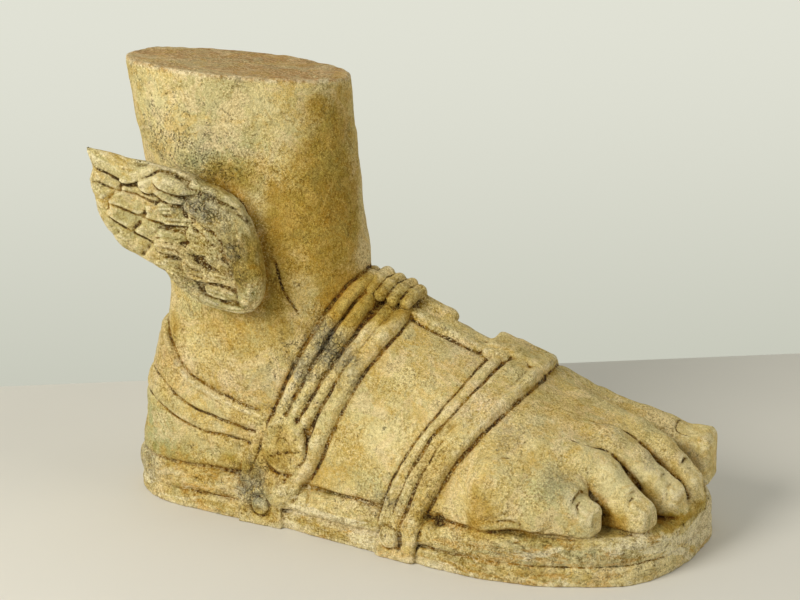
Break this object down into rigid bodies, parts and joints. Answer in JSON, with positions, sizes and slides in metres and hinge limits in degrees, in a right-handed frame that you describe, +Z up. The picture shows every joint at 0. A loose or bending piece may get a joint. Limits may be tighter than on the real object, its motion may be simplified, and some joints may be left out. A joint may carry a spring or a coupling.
{
  "type": "winged foot sculpture",
  "caption": "Carved sandstone right foot in a strapped sandal on a two-layer sole, with a feathered wing at the outer ankle and the leg cut off flat above.",
  "frame": {"origin": "middle of the bounding box, on the plane that the sole stands on", "axes": "+X from heel to toes, +Z up, so -Y is the outer side with the little toe and the wing"},
  "size_m": [0.5461, 0.2293, 0.4172],
  "materials": {
    "stone": "weathered sandstone, matt, with ochre stains in the hollows and grey lichen patches"
  },
  "bodies": {
    "root": {"winged_foot": "stone"}
  },
  "joints": []
}
